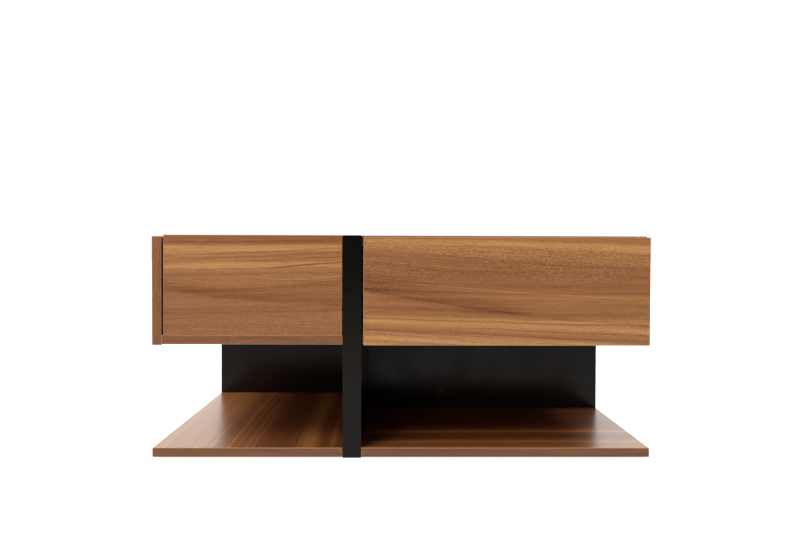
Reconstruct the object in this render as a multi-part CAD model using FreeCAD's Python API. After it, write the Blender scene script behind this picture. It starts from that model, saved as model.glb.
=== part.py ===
import FreeCAD, Part
import math
import os

Vector = FreeCAD.Vector

# A square coffee table in four equal quarters, turned about the upright axis like a pinwheel.
# Millimetres, Z up, origin on the floor under the middle. The front drawer opens towards -Y.
# Every function below makes the front quarter's piece, and the others are turned copies.
side_names = ("front", "right", "back", "left")
quarter_turn = 90.0

# Table
table_width = 800.0
table_height = 360.0
board = 15.0
edge_ease = 0.8
cut_overrun = 5.0

# Core panels: each runs inwards from an outer face, past a square well in the middle of the table,
# and butts on the next one's face
core_thickness = 30.0
well_width = 130.0

# Stick-on felt pads under the core panels
pad_height = 2.0
pad_width = 20.0
pad_ease = 0.5
pad_inset = 20.0

# Connector screws that hold each core panel's end to the next one's face
screw_inset = 50.0
screw_diameter = 7.0
screw_reach = 43.0
screw_play = 0.2
screw_head_diameter = 15.0
screw_head_height = 2.2
screw_head_bevel = 0.9
socket_width = 4.0
socket_depth = 3.0

# Lower shelves
shelf_lift = 1.3

# Drawer cases
case_height = 175.5
side_reveal = 2.3
side_drop = 1.3
side_gap = 3.0
push_gap = 3.0

# Drawers
drawer_gap_outer = 3.2
drawer_gap_core = 1.0
drawer_gap_foot = 0.5
drawer_board = 12.0
drawer_lift = 8.0
drawer_headroom = 17.5
drawer_ease = 0.5
bottom_thickness = 4.0
groove_depth = 5.0
groove_lift = 10.0
groove_play = 0.3

# Ball-bearing slides: outer channel, inner rail, and a ball cage between them
slide_height = 27.0
slide_sheet = 1.2
slide_play = 1.5
slide_setback = 2.0
slide_overlap = 100.0
ball_diameter = 3.2
ball_play = 0.3
race_wrap = 45.0
cage_sheet = 0.5
cage_play = 0.3
cage_rim = 0.8
cage_end_gap = 5.0
balls_per_row = 3
ball_bevel_share = 0.29

# Push latches behind the drawers
latch_space = 48.0
latch_play = 0.3
latch_plate_width = 44.0
latch_plate_height = 20.0
latch_plate_thickness = 3.0
latch_body_width = 18.0
latch_body_height = 16.0
latch_body_length = 30.0
latch_ease = 1.0
plunger_width = 9.0
plunger_play = 0.3
plunger_backlash = 4.0
plunger_ease = 0.6
bumper_width = 12.0
bumper_length = 4.0

# Planes of the front quarter, seen from above
outer = -table_width / 2
core_far = -well_width / 2
core_near = core_far - core_thickness
core_middle = (core_near + core_far) / 2
inner_end = well_width / 2
core_length = inner_end - outer
case_inner = outer + board
case_middle = (case_inner + core_near) / 2
front_back = outer + board

# Levels
shelf_foot = pad_height + shelf_lift
case_foot = table_height - case_height
case_floor = case_foot + board
case_ceiling = table_height - board
screw_levels = (screw_inset, table_height - screw_inset)

# Slide section: u across the slide from the case wall, w up from its middle
race = ball_diameter / 2 + ball_play
race_back = race + slide_sheet
cage_near = slide_sheet + cage_play
cage_far = cage_near + cage_sheet
ball_u = cage_far + cage_play + race_back
ball_w = slide_height / 2 - race_back
slide_depth = ball_u + race_back + slide_play

# Drawer box
drawer_left = case_inner + slide_depth
drawer_right = core_near - slide_depth
drawer_length = core_length - board - latch_space
drawer_end = front_back + drawer_length
drawer_foot = case_floor + drawer_lift
drawer_rim = case_ceiling - drawer_headroom
drawer_middle = (drawer_foot + drawer_rim) / 2
groove_foot = drawer_foot + groove_lift
bottom_top = groove_foot + bottom_thickness

# Slides along the drawer
slide_start = front_back + slide_setback
slide_length = drawer_end - slide_start
drawer_travel = slide_length - slide_overlap
cage_length = slide_overlap - 2 * cage_end_gap
cage_start = slide_start + drawer_travel / 2 + cage_end_gap

along_x = Vector(1, 0, 0)
along_y = Vector(0, 1, 0)
along_z = Vector(0, 0, 1)


def block(x_from, x_to, y_from, y_to, z_from, z_to):
    """A plain box between two corners."""
    return Part.makeBox(x_to - x_from, y_to - y_from, z_to - z_from, Vector(x_from, y_from, z_from))


def eased_block(x_from, x_to, y_from, y_to, z_from, z_to, ease):
    """A board with its edges broken by a small bevel."""
    plain = block(x_from, x_to, y_from, y_to, z_from, z_to)
    return plain.makeChamfer(ease, plain.Edges)


def outline(start, steps):
    """A closed face from a start point and steps: a point for a line, a pair (via, end) for an arc."""
    edges = []
    here = start
    for step in steps + [start]:
        if isinstance(step, tuple):
            via, there = step
            edges.append(Part.Arc(here, via, there).toShape())
        else:
            there = step
            edges.append(Part.LineSegment(here, there).toShape())
        here = there
    return Part.Face(Part.Wire(edges))


def turned(profile):
    """A solid of revolution about X from points (place along the axis, radius)."""
    points = [Vector(place, radius, 0) for place, radius in profile]
    return outline(points[0], points[1:]).revolve(Vector(0, 0, 0), along_x, 360)


def mirrored_pair(shape):
    """A piece on the case's side wall and its mirror image on the core panel's wall."""
    return [shape, shape.mirror(Vector(case_middle, 0, 0), along_x)]


def core_panel():
    """Black upright panel, drilled through for its own screws and in its inner end for the last panel's."""
    panel = eased_block(core_near, core_far, outer, inner_end, pad_height, table_height, edge_ease)
    hole = screw_diameter / 2 + screw_play
    through = core_thickness + 2 * cut_overrun
    cuts = []
    for level in screw_levels:
        face_start = Vector(core_near - cut_overrun, core_middle, level)
        cuts.append(Part.makeCylinder(hole, through, face_start, along_x))
        end_start = Vector(core_middle, inner_end + cut_overrun, level)
        end_depth = screw_reach + screw_play + cut_overrun
        cuts.append(Part.makeCylinder(hole, end_depth, end_start, -along_y))
    return panel.cut(cuts)


def core_screws():
    """Connector screws with a wide flat head and a hexagon socket, through one panel into the next one's end."""
    head = screw_head_diameter / 2
    shank = screw_diameter / 2
    length = core_thickness + screw_reach
    profile = [
        (-screw_head_height, 0),
        (-screw_head_height, head - screw_head_bevel),
        (-screw_head_height + screw_head_bevel, head),
        (0, head),
        (0, shank),
        (length, shank),
        (length, 0),
    ]
    corner = socket_width / math.sqrt(3)
    corners = []
    for step in range(6):
        turn = math.radians(60 * step)
        corners.append(Vector(-screw_head_height, corner * math.cos(turn), corner * math.sin(turn)))
    socket = outline(corners[0], corners[1:]).extrude(along_x * socket_depth)
    screw = turned(profile).cut(socket)
    screws = []
    for level in screw_levels:
        screws.append(screw.translated(Vector(core_near, core_middle, level)))
    return screws


def felt_pads():
    """Square pads under a core panel, near both ends."""
    left = core_middle - pad_width / 2
    pads = []
    for start in (outer + pad_inset, inner_end - pad_inset - pad_width):
        pads.append(eased_block(left, left + pad_width, start, start + pad_width, 0, pad_height, pad_ease))
    return pads


def shelf():
    """Lower shelf between two core panels, just clear of the floor."""
    return eased_block(outer, core_near, outer, inner_end, shelf_foot, shelf_foot + board, edge_ease)


def case_bottom():
    """Board under the drawer, its front edge in the table's outer face."""
    return eased_block(case_inner, core_near, outer, inner_end, case_foot, case_floor, edge_ease)


def top_board():
    """Tabletop board over the drawer, behind the drawer front and its push-in gap."""
    top_start = front_back + push_gap
    return eased_block(case_inner, core_near, top_start, inner_end, case_ceiling, table_height, edge_ease)


def side_panel():
    """Long plain side of the drawer case, a little below the tabletop and past the case bottom."""
    side_foot = case_foot - side_drop
    side_top = table_height - side_reveal
    return eased_block(outer, case_inner, outer, inner_end - side_gap, side_foot, side_top, edge_ease)


def centre_cap():
    """Square board that closes the well between the four core panels."""
    return eased_block(core_far, -core_far, core_far, -core_far, case_ceiling, table_height, edge_ease)


def groove():
    """Cutter for the groove that holds the drawer bottom at the front and at both sides."""
    left = drawer_left + drawer_board - groove_depth
    right = drawer_right - drawer_board + groove_depth
    start = front_back - groove_depth
    return block(left, right, start, drawer_end + cut_overrun, groove_foot, bottom_top + groove_play)


def drawer_front():
    """Inset front with no handle, grooved behind for the drawer bottom."""
    left = case_inner + drawer_gap_outer
    right = core_near - drawer_gap_core
    foot = case_floor + drawer_gap_foot
    front = eased_block(left, right, outer, front_back, foot, table_height, edge_ease)
    return front.cut(groove())


def drawer_side_pair():
    """Left and right side of the drawer box, grooved for the bottom."""
    right_face = drawer_left + drawer_board
    side = eased_block(drawer_left, right_face, front_back, drawer_end, drawer_foot, drawer_rim, drawer_ease)
    return mirrored_pair(side.cut(groove()))


def drawer_back():
    """Back of the drawer box, standing on the drawer bottom between the sides."""
    left = drawer_left + drawer_board
    right = drawer_right - drawer_board
    start = drawer_end - drawer_board
    return eased_block(left, right, start, drawer_end, bottom_top, drawer_rim, drawer_ease)


def drawer_bottom():
    """Thin panel that slides into the grooves from behind."""
    reach = groove_depth - groove_play
    left = drawer_left + drawer_board - reach
    right = drawer_right - drawer_board + reach
    return block(left, right, front_back - reach, drawer_end, groove_foot, bottom_top)


def race_point(radius, angle):
    """A point of a ball race's section: its radius about the upper ball and its angle in degrees."""
    turn = math.radians(angle)
    return Vector(ball_u + radius * math.cos(turn), 0, ball_w + radius * math.sin(turn))


def race_arc(radius, angle_from, angle_to):
    """The middle and the end of an arc about the upper ball."""
    return (race_point(radius, (angle_from + angle_to) / 2), race_point(radius, angle_to))


def along_slide(upper, start, length):
    """A slide piece on the case wall from the upper half of its section, which is the same upside down."""
    last = upper[-1]
    half = outline(Vector(upper[0].x, 0, 0), upper + [Vector(last.x, 0, 0)]).extrude(along_y * length)
    solid = half.fuse(half.mirror(Vector(0, 0, 0), along_z)).removeSplitter()
    return solid.translated(Vector(case_inner, start, drawer_middle))


def slide_channels():
    """Outer channels, open to the drawer, with a lip that curls round each row of balls."""
    top = slide_height / 2
    upper = [
        Vector(slide_sheet, 0, top - slide_sheet),
        Vector(ball_u, 0, top - slide_sheet),
        race_arc(race, 90, 90 - race_wrap),
        race_point(race_back, 90 - race_wrap),
        race_arc(race_back, 90 - race_wrap, 90),
        Vector(0, 0, top),
    ]
    return mirrored_pair(along_slide(upper, slide_start, slide_length))


def drawer_rails():
    """Inner rails on the drawer sides, open to the case, with a lip under each row of balls."""
    top = ball_w - race
    upper = [
        Vector(slide_depth - slide_sheet, 0, top - slide_sheet),
        Vector(ball_u, 0, top - slide_sheet),
        race_arc(race_back, 270, 270 - race_wrap),
        race_point(race, 270 - race_wrap),
        race_arc(race, 270 - race_wrap, 270),
        Vector(slide_depth, 0, top),
    ]
    return mirrored_pair(along_slide(upper, slide_start, slide_length))


def ball(middle):
    """A bearing ball, drawn light as a cube with broad bevels, since a table has dozens."""
    corner = middle - Vector(ball_diameter / 2, ball_diameter / 2, ball_diameter / 2)
    cube = Part.makeBox(ball_diameter, ball_diameter, ball_diameter, corner)
    return cube.makeChamfer(ball_diameter * ball_bevel_share, cube.Edges)


def ball_window(middle):
    """Cutter for the windows that hold a ball of the upper row and one of the lower row."""
    half = ball_diameter / 2 + cage_play
    foot = drawer_middle - slide_height
    head = drawer_middle + slide_height
    return block(middle.x - half, middle.x + half, middle.y - half, middle.y + half, foot, head)


def ball_cages():
    """Folded strip with a window for each ball, and the balls, which it carries at half the drawer's speed."""
    half = cage_sheet / 2
    reach = ball_u + race + cage_rim
    upper = [
        Vector(cage_far, 0, ball_w - half),
        Vector(reach, 0, ball_w - half),
        Vector(reach, 0, ball_w + half),
        Vector(cage_near, 0, ball_w + half),
    ]
    strip = along_slide(upper, cage_start, cage_length)
    pitch = cage_length / balls_per_row
    windows = []
    balls = []
    for index in range(balls_per_row):
        place = cage_start + pitch * (index + 1 / 2)
        middle = Vector(case_inner + ball_u, place, drawer_middle)
        windows.append(ball_window(middle))
        balls.append(ball(middle + along_z * ball_w))
        balls.append(ball(middle - along_z * ball_w))
    pieces = []
    for piece in [strip.cut(windows)] + balls:
        pieces.extend(mirrored_pair(piece))
    return pieces


def latch_block(width, height, y_from, y_to, ease):
    """A block of the push latch, centred behind the drawer."""
    left = case_middle - width / 2
    foot = drawer_middle - height / 2
    return eased_block(left, left + width, y_from, y_to, foot, foot + height, ease)


def latch_housing():
    """Push latch body on the core panel behind the drawer: fixing plate and square barrel in one moulding."""
    plate_face = inner_end - latch_plate_thickness
    nose = plate_face - latch_body_length
    plate = latch_block(latch_plate_width, latch_plate_height, plate_face, inner_end, latch_ease)
    body = latch_block(latch_body_width, latch_body_height, nose, inner_end, latch_ease)
    half = plunger_width / 2 + plunger_play
    bore = block(
        case_middle - half, case_middle + half, nose - cut_overrun, plate_face,
        drawer_middle - half, drawer_middle + half,
    )
    return body.fuse(plate).cut(bore).removeSplitter()


def latch_plunger():
    """Square plunger with a soft bumper, resting just off the drawer back."""
    tip = drawer_end + latch_play
    heel = inner_end - latch_plate_thickness - plunger_backlash
    rod = latch_block(plunger_width, plunger_width, tip, heel, plunger_ease)
    bumper = latch_block(bumper_width, bumper_width, tip, tip + bumper_length, plunger_ease)
    return rod.fuse(bumper).removeSplitter()


def quarter_copy(shape, turn):
    """A piece of the front quarter, turned to another quarter."""
    copy = shape.copy()
    copy.rotate(Vector(0, 0, 0), along_z, quarter_turn * turn)
    return copy


def quarter_nodes():
    """Pieces that every quarter has as nodes of its own."""
    left_side, right_side = drawer_side_pair()
    return {
        "core_panel": [core_panel()],
        "shelf": [shelf()],
        "case_bottom": [case_bottom()],
        "top_board": [top_board()],
        "side_panel": [side_panel()],
        "drawer_front": [drawer_front()],
        "drawer_left_side": [left_side],
        "drawer_right_side": [right_side],
        "drawer_back": [drawer_back()],
        "drawer_bottom": [drawer_bottom()],
        "slide_channels": slide_channels(),
        "drawer_rails": drawer_rails(),
        "ball_cages": ball_cages(),
        "latch_plunger": [latch_plunger()],
    }


def shared_nodes():
    """Repeated fittings of all four quarters, each kind in one node."""
    return {
        "latch_housings": [latch_housing()],
        "core_screws": core_screws(),
        "felt_pads": felt_pads(),
    }


def write_node(name, solids):
    """One STEP file for a node, a group where it has more than one solid."""
    shape = solids[0] if len(solids) == 1 else Part.makeCompound(solids)
    shape.exportStep(os.path.join("parts", name + ".step"))


def main():
    """Build every node and write it."""
    os.makedirs("parts", exist_ok=True)
    write_node("centre_cap", [centre_cap()])
    for name, solids in quarter_nodes().items():
        for turn, side in enumerate(side_names):
            write_node(side + "_" + name, [quarter_copy(solid, turn) for solid in solids])
    for name, solids in shared_nodes().items():
        turns = range(len(side_names))
        write_node(name, [quarter_copy(solid, turn) for turn in turns for solid in solids])


main()
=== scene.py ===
"""Looks of a square coffee table with four drawers: finishes, small fittings, studio and camera.

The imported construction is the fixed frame. Lengths are metres in that frame: Z is up, the front drawer opens
towards -Y, and the other three quarters are the front one turned about the upright axis.
"""
import logging
import math
from dataclasses import dataclass, replace
from enum import Enum
from functools import cache
from typing import Callable, Iterable, Sequence

import bmesh
import bpy
from mathutils import Matrix, Vector


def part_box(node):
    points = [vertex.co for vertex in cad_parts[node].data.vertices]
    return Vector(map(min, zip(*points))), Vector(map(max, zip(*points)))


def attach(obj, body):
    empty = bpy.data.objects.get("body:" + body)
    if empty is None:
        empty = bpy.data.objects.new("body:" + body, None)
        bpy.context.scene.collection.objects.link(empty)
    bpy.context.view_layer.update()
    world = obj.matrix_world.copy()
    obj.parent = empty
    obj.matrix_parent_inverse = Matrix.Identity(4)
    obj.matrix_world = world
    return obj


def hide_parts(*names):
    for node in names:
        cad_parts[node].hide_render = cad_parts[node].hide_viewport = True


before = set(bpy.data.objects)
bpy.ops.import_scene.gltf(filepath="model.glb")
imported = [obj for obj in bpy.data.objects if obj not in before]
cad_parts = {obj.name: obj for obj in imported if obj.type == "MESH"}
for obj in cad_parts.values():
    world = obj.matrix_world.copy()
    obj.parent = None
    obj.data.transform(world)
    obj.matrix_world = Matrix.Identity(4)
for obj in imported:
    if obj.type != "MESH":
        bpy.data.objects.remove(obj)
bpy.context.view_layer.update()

log = logging.getLogger("coffee_table")

Colour = tuple[float, float, float, float]
ColourStops = tuple[tuple[float, Colour], ...]
Piece = bpy.types.Object
Point = tuple[float, float, float]
Socket = bpy.types.NodeSocket
Span = tuple[float, float]
Stops = tuple[Span, ...]

UP = Vector((0, 0, 1))
WHITE = (1.0, 1.0, 1.0, 1.0)

# How much of an axis a face's normal has at least, where the face looks along that axis.
SQUARE_ON = 0.9

# The curve between a screen's colour values and the light that they stand for.
SCREEN_FULL = 255
SCREEN_KNEE = 0.04045
SCREEN_SLOPE = 12.92
SCREEN_LIFT = 0.055
SCREEN_POWER = 2.4


def colour(red: int, green: int, blue: int) -> Colour:
    """Turns a screen colour of 0 to 255 a channel into the linear colour that shaders take.

    Args:
        red: Red channel.
        green: Green channel.
        blue: Blue channel.

    Returns:
        The linear colour with full alpha.
    """
    linear = []
    for channel in (red, green, blue):
        share = channel / SCREEN_FULL
        lifted = (share + SCREEN_LIFT) / (1 + SCREEN_LIFT)
        linear.append(share / SCREEN_SLOPE if share <= SCREEN_KNEE else lifted ** SCREEN_POWER)
    return (linear[0], linear[1], linear[2], 1.0)


class Side(Enum):
    """The table's four alike quarters, each with its turn about the upright axis in degrees."""

    FRONT = 0
    RIGHT = 90
    BACK = 180
    LEFT = 270

    @property
    def word(self) -> str:
        """The quarter's name as the frame spells it."""
        return self.name.lower()

    @property
    def turn(self) -> Matrix:
        """The turn from the front quarter to this one."""
        return Matrix.Rotation(math.radians(self.value), 4, "Z")


class Lay(Enum):
    """How a board of the front quarter lies: the directions along its grain, across it and through it."""

    FLAT = ((0, 1, 0), (-1, 0, 0), (0, 0, 1))
    FACING_FRONT = ((1, 0, 0), (0, 0, 1), (0, -1, 0))
    FACING_SIDE = ((0, 1, 0), (0, 0, 1), (1, 0, 0))

    @property
    def axes(self) -> Matrix:
        """The three directions as the columns of a rotation."""
        return Matrix(self.value).transposed()


@dataclass(frozen=True)
class GrainMark:
    """One kind of grain mark.

    Attributes:
        length: How long the marks are along the grain.
        width: How wide they are across the grain.
        detail: How many times finer marks are added.
        shift: Where their noise is read, so that two kinds don't lie alike.
        roughness: How strong the finer marks are.
    """

    length: float
    width: float
    detail: float = 1.0
    shift: float = 0.0
    roughness: float = 0.6


class NodeSketch:
    """Adds and links the nodes of one material, shader group or world."""

    MIX_VALUES = (2, 3)
    MIX_COLOURS = (6, 7)
    MIX_COLOUR_OUT = 2

    def __init__(self, tree: bpy.types.NodeTree) -> None:
        """Keeps the tree that the nodes go into."""
        self.tree = tree

    def add(self, kind: str, **settings: object) -> bpy.types.Node:
        """Adds one node.

        Args:
            kind: The node's type, without the prefix that shader nodes share.
            settings: Properties of the node to set.

        Returns:
            The new node.
        """
        node = self.tree.nodes.new("ShaderNode" + kind)
        for name, value in settings.items():
            setattr(node, name, value)
        return node

    def feed(self, socket: Socket, value: object) -> None:
        """Links a socket to another one, or sets its constant.

        Args:
            socket: The socket to feed.
            value: The other socket, or the constant.
        """
        if isinstance(value, bpy.types.NodeSocket):
            self.tree.links.new(value, socket)
        else:
            socket.default_value = value

    def wired(self, node: bpy.types.Node, values: dict[int | str, object], output: int = 0) -> Socket:
        """Feeds a node's inputs.

        Args:
            node: The node.
            values: What each input takes, by the input's number or name.
            output: The number of the wanted output.

        Returns:
            The wanted output.
        """
        for key, value in values.items():
            self.feed(node.inputs[key], value)
        return node.outputs[output]

    def math(self, operation: str, first: object, second: object = 0.0) -> Socket:
        """Adds a Math node on two values."""
        return self.wired(self.add("Math", operation=operation), {0: first, 1: second})

    def times(self, first: object, second: object) -> Socket:
        """Multiplies two values."""
        return self.math("MULTIPLY", first, second)

    def plus(self, first: object, second: object) -> Socket:
        """Adds two values."""
        return self.math("ADD", first, second)

    def minus(self, first: object, second: object) -> Socket:
        """Takes the second value from the first."""
        return self.math("SUBTRACT", first, second)

    def swing(self, noise: Socket, reach: object) -> Socket:
        """Centres a noise on zero and scales it, so that it swings half its reach either way."""
        return self.times(self.minus(noise, 0.5), reach)

    def smooth(self, value: object, low: object, high: object) -> Socket:
        """A soft step from 0 at the low value to 1 at the high one."""
        node = self.add("MapRange", interpolation_type="SMOOTHSTEP")
        return self.wired(node, {"Value": value, "From Min": low, "From Max": high})

    def fading(self, value: object, low: object, high: object) -> Socket:
        """A soft step from 1 at the low value to 0 at the high one."""
        return self.minus(1.0, self.smooth(value, low, high))

    def between(self, share: object, first: object, second: object) -> Socket:
        """A value that goes from the first to the second as the share goes from 0 to 1."""
        low, high = self.MIX_VALUES
        return self.wired(self.add("Mix", data_type="FLOAT"), {0: share, low: first, high: second})

    def blend(self, share: object, first: object, second: object, mode: str = "MIX") -> Socket:
        """Mixes a second colour into a first one.

        Args:
            share: How much of the second colour, from 0 to 1.
            first: The colour underneath.
            second: The colour on top.
            mode: How the two are mixed.

        Returns:
            The mixed colour.
        """
        under, over = self.MIX_COLOURS
        node = self.add("Mix", data_type="RGBA", blend_type=mode)
        return self.wired(node, {0: share, under: first, over: second}, self.MIX_COLOUR_OUT)

    def parts(self, vector: Socket) -> tuple[Socket, ...]:
        """Takes a vector apart.

        Args:
            vector: The vector.

        Returns:
            Its three components.
        """
        node = self.add("SeparateXYZ")
        self.feed(node.inputs[0], vector)
        return tuple(node.outputs)

    def facing(self, direction: Socket) -> tuple[list[Socket], Socket]:
        """How squarely a surface faces along each of three axes, and along the nearest of them."""
        ways = [self.math("ABSOLUTE", part) for part in self.parts(direction)]
        return ways, self.math("MAXIMUM", ways[0], self.math("MAXIMUM", ways[1], ways[2]))

    def vector(self, first: object, second: object, third: object) -> Socket:
        """A vector from three components."""
        return self.wired(self.add("CombineXYZ"), {0: first, 1: second, 2: third})

    def noise(
        self, vector: Socket, scale: object = 1.0, detail: float = 0.0, roughness: float = 0.5
    ) -> Socket:
        """A cloudy noise of about 0.5.

        Args:
            vector: Where the noise is read.
            scale: Clouds for each unit of the vector.
            detail: How many times finer clouds are added.
            roughness: How strong the finer clouds are.

        Returns:
            The noise value.
        """
        values = {"Vector": vector, "Scale": scale, "Detail": detail, "Roughness": roughness}
        return self.wired(self.add("TexNoise"), values)

    def stretched(self, along: Socket, across: Socket, seed: Socket, mark: GrainMark) -> Socket:
        """Noise stretched along the grain.

        Args:
            along: The place along the grain.
            across: The place across the grain.
            seed: The board's own number.
            mark: The kind of mark that the noise draws.

        Returns:
            The noise value.
        """
        place = self.vector(
            self.times(along, 1 / mark.length),
            self.times(across, 1 / mark.width),
            self.plus(seed, mark.shift),
        )
        return self.noise(place, detail=mark.detail, roughness=mark.roughness)

    def ramp(self, value: Socket, stops: Sequence[tuple[float, Colour]]) -> Socket:
        """Runs a colour through stops as a value goes from 0 to 1.

        Args:
            value: The value.
            stops: Where each colour is reached.

        Returns:
            The colour.
        """
        node = self.add("ValToRGB")
        elements = node.color_ramp.elements
        while len(elements) < len(stops):
            elements.new(1.0)
        for element, (place, tint) in zip(elements, stops):
            element.position = place
            element.color = tint
        return self.wired(node, {0: value})

    def profile(self, value: Socket, stops: Stops) -> Socket:
        """A plain value that runs through stops as another goes from 0 to 1."""
        return self.ramp(value, [(place, (tone, tone, tone, 1.0)) for place, tone in stops])

    def group(self, tree: bpy.types.NodeTree, **values: object) -> dict[str, Socket]:
        """Places a shader group.

        Args:
            tree: The group.
            values: What its named inputs take.

        Returns:
            Its outputs by name.
        """
        node = self.add("Group", node_tree=tree)
        self.wired(node, values)
        return {socket.name: socket for socket in node.outputs}


class ShaderGroup:
    """A shader node group with named inputs and outputs, open for its nodes to be added."""

    KINDS = {"value": "NodeSocketFloat", "vector": "NodeSocketVector"}

    def __init__(self, name: str, inputs: dict[str, str], outputs: Sequence[str]) -> None:
        """Makes the group.

        Args:
            name: The group's name.
            inputs: Its inputs, each a value or a vector.
            outputs: Its outputs, all values.
        """
        self.tree = bpy.data.node_groups.new(name, "ShaderNodeTree")
        for socket, kind in inputs.items():
            self.tree.interface.new_socket(socket, in_out="INPUT", socket_type=self.KINDS[kind])
        for socket in outputs:
            self.tree.interface.new_socket(socket, in_out="OUTPUT", socket_type=self.KINDS["value"])
        self.sketch = NodeSketch(self.tree)
        self.given = self.tree.nodes.new("NodeGroupInput").outputs
        self.result = self.tree.nodes.new("NodeGroupOutput").inputs

    def give(self, **values: Socket) -> bpy.types.NodeTree:
        """Links the outputs.

        Args:
            values: What each named output gives.

        Returns:
            The finished group.
        """
        for name, value in values.items():
            self.sketch.feed(self.result[name], value)
        return self.tree


@dataclass(frozen=True)
class GrainFlow:
    """Group that turns a board's own coordinates into wandering grain lines, on faces and on edge bands."""

    wander: GrainMark = GrainMark(0.6, 0.4, roughness=0.5)
    ripple: GrainMark = GrainMark(0.16, 0.05, roughness=0.5)
    ripple_reach: float = 0.006
    face_cut: Span = (0.74, 0.82)
    ease_cut: Span = (0.78, 0.9)
    end_cut: Span = (0.6, 0.68)

    def build(self) -> bpy.types.NodeTree:
        """Makes the group.

        Returns:
            A group that gives the place along and across the grain, the share of the width, and masks for
            the broad faces and for the eased edges.
        """
        kinds = {"Position": "vector", "Facing": "vector"}
        kinds.update(dict.fromkeys(("Width", "Wander", "Fall", "Seed"), "value"))
        group = ShaderGroup("grain flow", kinds, ("Along", "Across", "Share", "Face", "Ease"))
        sketch, given = group.sketch, group.given
        along, across, depth = sketch.parts(given["Position"])
        (to_end, _, to_face), squarest = sketch.facing(given["Facing"])
        wander = sketch.swing(sketch.stretched(along, across, given["Seed"], self.wander), given["Wander"])
        ripple = sketch.swing(sketch.stretched(along, across, given["Seed"], self.ripple), self.ripple_reach)
        fallen = sketch.minus(across, sketch.times(along, given["Fall"]))
        grain_line = sketch.plus(fallen, sketch.plus(wander, ripple))
        face = sketch.smooth(to_face, *self.face_cut)
        band_along = sketch.between(sketch.smooth(to_end, *self.end_cut), along, across)
        return group.give(
            Along=sketch.between(face, band_along, along),
            Across=sketch.between(face, depth, grain_line),
            Share=sketch.plus(sketch.math("DIVIDE", grain_line, given["Width"]), 0.5),
            Face=face,
            Ease=sketch.fading(squarest, *self.ease_cut),
        )


@dataclass(frozen=True)
class WoodGrain:
    """Group that draws printed wood grain: bands, lines, hairs, fibres, rings, pores and pale flecks."""

    band: GrainMark = GrainMark(1.1, 0.033, 3.0)
    line: GrainMark = GrainMark(0.34, 0.006, 2.0, 3.1)
    hair: GrainMark = GrainMark(0.2, 0.0022, 1.0, 5.7)
    fibre: GrainMark = GrainMark(0.035, 0.001, 1.0, 7.3)
    pore: GrainMark = GrainMark(0.0055, 0.0013, 0.0, 11.9)
    cluster: GrainMark = GrainMark(0.3, 0.045, 1.0, 17.7)
    fleck: GrainMark = GrainMark(0.005, 0.0013, 0.0, 23.2)
    ring_bend: GrainMark = GrainMark(0.7, 0.06, 1.0, 37.4)
    ring_spacing: float = 0.011
    ring_bend_reach: float = 5.0
    ring_cut: Span = (0.35, 1.0)
    ring_reach: float = 0.3
    band_reach: float = 0.42
    line_reach: float = 0.5
    hair_reach: float = 0.3
    fibre_reach: float = 0.22
    golden_cut: Span = (0.5, 0.72)
    quiet_share: float = 0.42
    pore_cut: Span = (0.53, 0.67)
    cluster_cut: Span = (0.22, 0.52)

    def build(self) -> bpy.types.NodeTree:
        """Makes the group.

        Returns:
            A group that adds grain to a tone, and gives masks of pores and flecks and the fibres' height.
        """
        kinds = dict.fromkeys(("Along", "Across", "Tone", "Seed", "Rings", "Fine"), "value")
        group = ShaderGroup("wood grain", kinds, ("Tone", "Pores", "Flecks", "Fibres"))
        sketch, given = group.sketch, group.given
        marks = (
            self.band, self.line, self.hair, self.fibre, self.pore, self.cluster, self.fleck, self.ring_bend,
        )
        bands, lines, hairs, fibres, pores, clusters, flecks, bends = [
            sketch.stretched(given["Along"], given["Across"], given["Seed"], mark) for mark in marks
        ]
        bend = sketch.swing(bends, self.ring_bend_reach)
        ring_place = sketch.plus(sketch.times(given["Across"], 1 / self.ring_spacing), bend)
        ring_number = sketch.plus(sketch.math("FLOOR", ring_place), given["Seed"])
        ring_odds = sketch.wired(sketch.add("TexWhiteNoise", noise_dimensions="1D"), {"W": ring_number})
        late_wood = sketch.smooth(sketch.math("FRACT", ring_place), *self.ring_cut)
        rings = sketch.times(sketch.times(late_wood, ring_odds), given["Rings"])
        tone = sketch.minus(given["Tone"], sketch.times(rings, self.ring_reach))
        golden = sketch.smooth(tone, *self.golden_cut)
        lined = sketch.times(sketch.between(golden, self.quiet_share, 1.0), given["Fine"])
        for grain, strength, reach in (
            (bands, given["Fine"], self.band_reach),
            (lines, lined, self.line_reach),
            (hairs, lined, self.hair_reach),
            (fibres, given["Fine"], self.fibre_reach),
        ):
            tone = sketch.plus(tone, sketch.swing(grain, sketch.times(strength, reach)))
        rows = sketch.smooth(clusters, *self.cluster_cut)
        return group.give(
            Tone=tone,
            Pores=sketch.times(sketch.smooth(pores, *self.pore_cut), rows),
            Flecks=sketch.times(sketch.smooth(flecks, *self.pore_cut), rows),
            Fibres=fibres,
        )


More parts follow.
